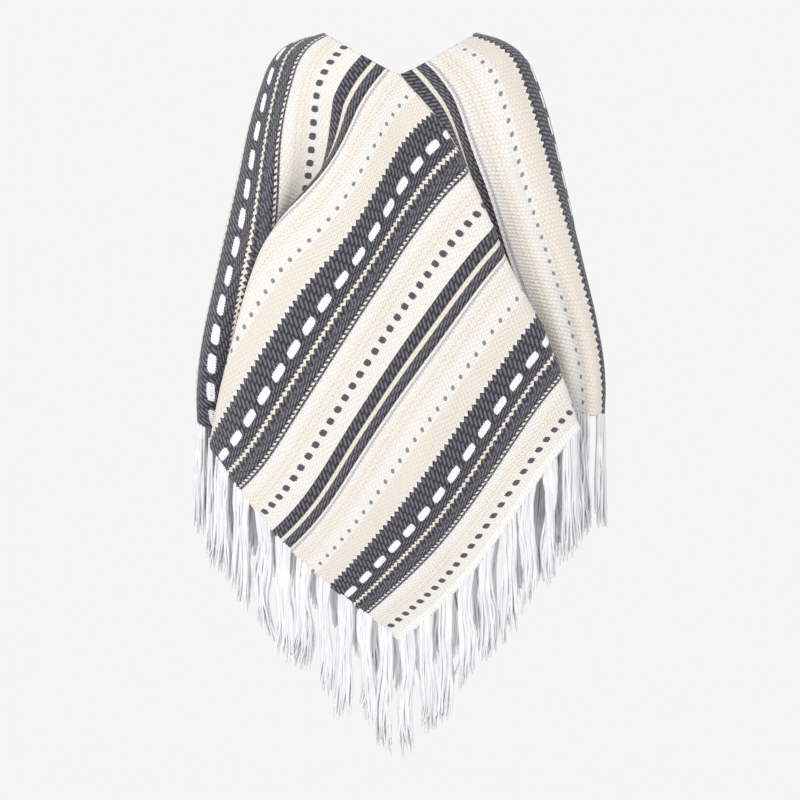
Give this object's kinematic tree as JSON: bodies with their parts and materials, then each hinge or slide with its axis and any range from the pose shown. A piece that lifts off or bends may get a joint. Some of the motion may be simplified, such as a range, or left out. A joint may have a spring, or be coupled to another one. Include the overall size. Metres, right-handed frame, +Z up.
{
  "type": "knitted poncho with fringe",
  "caption": "Open knitted striped poncho of sewn rectangles, with a V neck, a pointed hem at front and back and a tassel fringe, hollow as worn.",
  "frame": {"origin": "middle of the neck opening, level with the two tops of the neckline on the shoulders", "axes": "+Z up, front towards -Y, +X at the viewer's right when seen from the front"},
  "size_m": [0.6047, 0.3466, 1.0537],
  "materials": {
    "knit": "jacquard knit, charcoal, beige and white stripes",
    "fringe_yarn": "soft white yarn"
  },
  "bodies": {
    "root": {"panel_front": "knit", "panel_back": "knit", "fringe_front": "fringe_yarn", "fringe_back": "fringe_yarn"}
  },
  "joints": []
}
